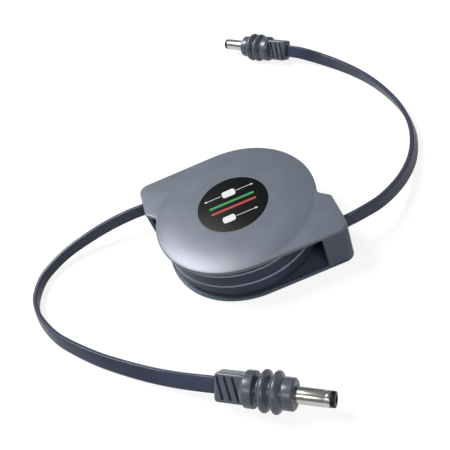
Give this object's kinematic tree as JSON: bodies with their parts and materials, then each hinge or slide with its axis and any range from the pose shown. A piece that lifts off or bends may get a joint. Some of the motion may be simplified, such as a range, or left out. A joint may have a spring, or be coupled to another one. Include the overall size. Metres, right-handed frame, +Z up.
{
  "type": "retractable power cable",
  "caption": "Flat two-way retractable cable: a sprung reel case with two tabs lets a flat ribbon out of each side, and each ribbon ends in a sealed barrel power plug.",
  "frame": {"origin": "on the spool's axis, at the underside of the lower cover, where the case rests", "axes": "+Z up along the spool's axis, +X along the case's two straight edges, towards the tab of the right ribbon; +Y away from that tab's straight edge"},
  "size_m": [0.1823, 0.2245, 0.0196],
  "materials": {
    "case": "satin slate-grey moulding with a metallic tint",
    "label": "black satin film label",
    "screw": "bright zinc plate",
    "spool": "dark satin moulding",
    "spring": "blued spring strip",
    "ball": "polished bearing steel",
    "ribbon": "satin dark-grey flexible jacket",
    "plug_grip": "satin grey flexible overmould",
    "plug_seal": "smooth grey sealing sleeve",
    "barrel": "bright nickel plate",
    "insulator": "black satin moulding",
    "contact": "thin gilt plate"
  },
  "bodies": {
    "case": {"lower_cover": "case", "upper_cover": "case", "label_disc": "label", "centre_screw": "screw", "tab_screws": "screw", "left_ribbon": "ribbon", "right_ribbon": "ribbon", "left_plug_body": "plug_grip", "left_plug_seal": "plug_seal", "left_plug_barrel": "barrel", "left_plug_insulator": "insulator", "left_plug_contact": "contact", "right_plug_body": "plug_grip", "right_plug_seal": "plug_seal", "right_plug_barrel": "barrel", "right_plug_insulator": "insulator", "right_plug_contact": "contact"},
    "spool": {"spool": "spool", "track_plate": "spool", "power_spring": "spring", "lower_winding": "ribbon", "upper_winding": "ribbon"},
    "ball": {"lock_ball": "ball"}
  },
  "joints": [
    {"name": "spool_spin", "type": "hinge", "parent": "case", "child": "spool", "pos_m": [0, 0, 0], "axis": [0, 0, 1], "range_deg": [-270, 1485]},
    {"name": "ball_slide", "type": "slide", "parent": "case", "child": "ball", "axis": [1, 0, 0], "range_m": [0, 0.0024]}
  ]
}
